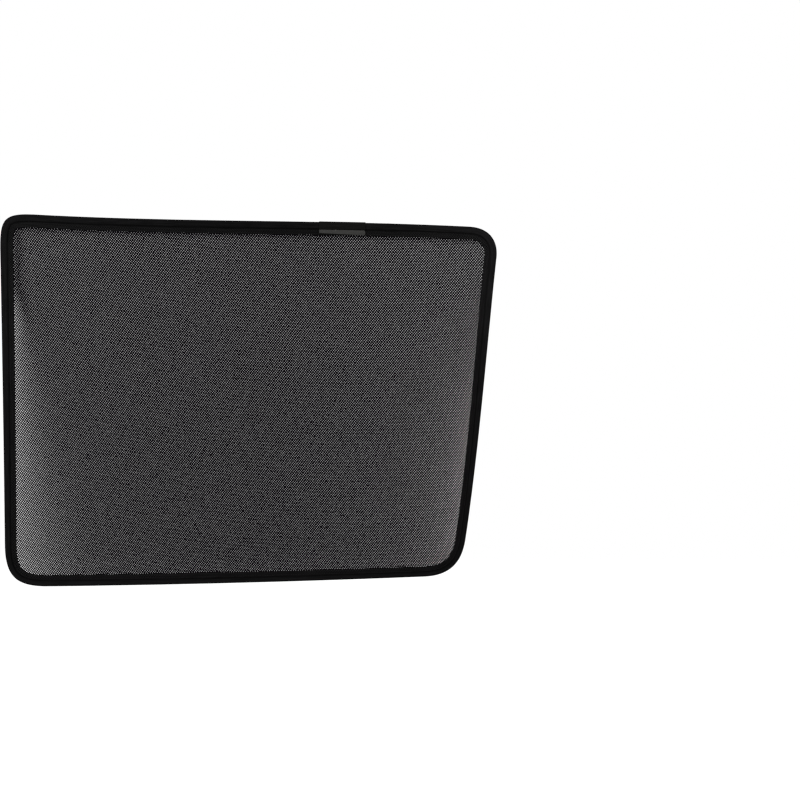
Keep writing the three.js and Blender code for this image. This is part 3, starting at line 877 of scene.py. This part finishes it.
def net_material():
    """Matt knitted yarn with a faint violet cast, with painted light on its crowns and painted shade in its
    grooves
    """
    material, tree, shader = new_material("net_yarn", 0.85, 0.02)
    vector = object_vector(tree)
    lint = use_group(tree, lint_group, Vector=vector, Cloud_Size=NET_CLOUD)
    yarns = use_group(tree, yarn_group, Vector=cloth_vector(tree))
    fibres = noise_share(tree, vector, FIBRE_SCALE, roughness=0.7)
    # Painted light and shade: the yarn's crowns lighter, its grooves darker, and darker between the twisted
    # plies
    rise = maths(tree, "POWER", yarns["Height"], YARN_CROWN_LIGHT_POWER, clamp=True)
    shade = maths(tree, "MULTIPLY", rise, maths(tree, "MULTIPLY_ADD", yarns["Twist"], 0.5, 0.5))
    shade = maths(tree, "MULTIPLY", shade, maths(tree, "ADD", lint["Cloud"], 0.5))
    shade = maths(tree, "MULTIPLY_ADD", lint["Specks"], YARN_SPECK_SHARE, shade)
    shade = maths(tree, "MULTIPLY_ADD", maths(tree, "SUBTRACT", fibres, 0.5), FIBRE_SHARE, shade, clamp=True)
    tree.links.new(blended(tree, shade, *NET_COLOURS), shader.inputs["Base Color"])
    height = maths(tree, "MULTIPLY_ADD", fibres, FIBRE_RELIEF, yarns["Height"])
    height = maths(tree, "MULTIPLY_ADD", yarns["Twist"], TWIST_RELIEF, height)
    bump(tree, shader, height, YARN_RELIEF)
    return material


def metal_material(name, dark, light, roughness, grain_scale):
    """Plain bright metal with fine drawn grain"""
    material, tree, shader = new_material(name, roughness, 0.5, 1)
    grain = noise_share(tree, object_vector(tree), grain_scale, detail=5)
    tree.links.new(blended(tree, grain, dark, light), shader.inputs["Base Color"])
    rough = maths(tree, "MULTIPLY_ADD", grain, GRAIN_ROUGHNESS, roughness - GRAIN_SMOOTHING)
    tree.links.new(rough, shader.inputs["Roughness"])
    bump(tree, shader, grain, GRAIN_RELIEF)
    return material


rim_cloth = tape_material()
ribbon_cloth = ribbon_material()
bar_braid = bar_material()
black_thread = thread_material()
net_yarn = net_material()
spring_steel = metal_material("spring_steel", (0.22, 0.23, 0.24), (0.42, 0.43, 0.45), 0.35, 900)
ferrule_brass = metal_material("ferrule_brass", (0.42, 0.3, 0.12), (0.62, 0.47, 0.22), 0.38, 700)
magnet_nickel = metal_material("magnet_nickel", (0.5, 0.5, 0.51), (0.68, 0.69, 0.7), 0.3, 500)

# Light metal pieces keep their solids, with a drawn finish
FINISHES = {"frame_wire": spring_steel, "wire_ferrule": ferrule_brass}
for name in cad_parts:
    finish = magnet_nickel if name.startswith("magnet_") else FINISHES.get(name)
    if finish:
        solid = bpy.data.objects[name]
        solid.data.materials.clear()
        solid.data.materials.append(finish)

build_tape(rim_cloth)
build_tab(ribbon_cloth)
build_strip(bar_braid)
build_stitches("front_stitches", HEM_DEPTH - STITCH_SINK + STITCH_RADIUS, black_thread)
build_stitches("back_stitches", STITCH_SINK - STITCH_RADIUS, black_thread)
for half in (-1, 1):
    build_net(half, net_yarn)

# Camera: square on, with the empty room beside the shade that the photo has
VIEW_WIDTH = 1.0385
CAMERA_DISTANCE = 3.0
CAMERA_X = 0.1967
CAMERA_Z = 0.24195
camera_data = bpy.data.cameras.new("camera")
camera_data.lens = camera_data.sensor_width * CAMERA_DISTANCE / VIEW_WIDTH
camera = bpy.data.objects.new("camera", camera_data)
camera.location = (CAMERA_X, -CAMERA_DISTANCE, CAMERA_Z)
camera.rotation_euler = (math.pi / 2, 0, 0)
bpy.context.scene.collection.objects.link(camera)
bpy.context.scene.camera = camera

# Soft light: a broad key from the upper left, and an even grey room
KEY_STRENGTH = 1.3
KEY_SPREAD = math.radians(70)
KEY_DIRECTION = Vector((0.45, 0.7, -0.75))
ROOM_LEVEL = 0.55
key_data = bpy.data.lights.new("key", "SUN")
key_data.energy = KEY_STRENGTH
key_data.angle = KEY_SPREAD
key = bpy.data.objects.new("key", key_data)
key.rotation_euler = KEY_DIRECTION.to_track_quat("-Z", "Y").to_euler()
bpy.context.scene.collection.objects.link(key)


def seen_directly(tree):
    """1 for the camera and for what gloss and glass show, 0 for light that falls on a surface"""
    path = tree.nodes.new("ShaderNodeLightPath").outputs
    seen = maths(tree, "MAXIMUM", path["Is Camera Ray"], path["Is Glossy Ray"])
    return maths(tree, "MAXIMUM", seen, path["Is Transmission Ray"])


world = bpy.data.worlds.new("room")
bpy.context.scene.world = world
world.use_nodes = True
sky = world.node_tree.nodes["Background"]
sky.inputs["Color"].default_value = (1, 1, 1, 1)
lift = maths(world.node_tree, "MULTIPLY_ADD", seen_directly(world.node_tree), 1 - ROOM_LEVEL, ROOM_LEVEL)
world.node_tree.links.new(lift, sky.inputs["Strength"])

# Pale floor, well below the shade, which hangs by its rim
FLOOR_SIZE = 14
FLOOR_Z = -0.45
FLOOR_LIFT = 0.35
floor_material, floor_tree, floor_shader = new_material("pale_floor", 0.9, 0.1)
floor_grain = noise_share(floor_tree, object_vector(floor_tree), 6, detail=2, roughness=0.5)
floor_colour = blended(floor_tree, floor_grain, (0.86, 0.86, 0.86), (0.9, 0.9, 0.9))
floor_tree.links.new(floor_colour, floor_shader.inputs["Base Color"])
floor_shader.inputs["Emission Color"].default_value = (1, 1, 1, 1)
floor_glow = maths(floor_tree, "MULTIPLY", seen_directly(floor_tree), FLOOR_LIFT)
floor_tree.links.new(floor_glow, floor_shader.inputs["Emission Strength"])
bm = bmesh.new()
bmesh.ops.create_grid(bm, x_segments=1, y_segments=1, size=FLOOR_SIZE / 2)
bmesh.ops.translate(bm, vec=(0, 0, FLOOR_Z), verts=bm.verts)
floor_mesh = bpy.data.meshes.new("floor")
bm.to_mesh(floor_mesh)
bm.free()
floor_mesh.materials.append(floor_material)
floor = bpy.data.objects.new("floor", floor_mesh)
bpy.context.scene.collection.objects.link(floor)

# A slightly narrow pixel filter keeps the net's small holes apart
PIXEL_FILTER = 1.35
bpy.context.scene.cycles.filter_width = PIXEL_FILTER
bpy.context.scene.view_settings.view_transform = "Standard"
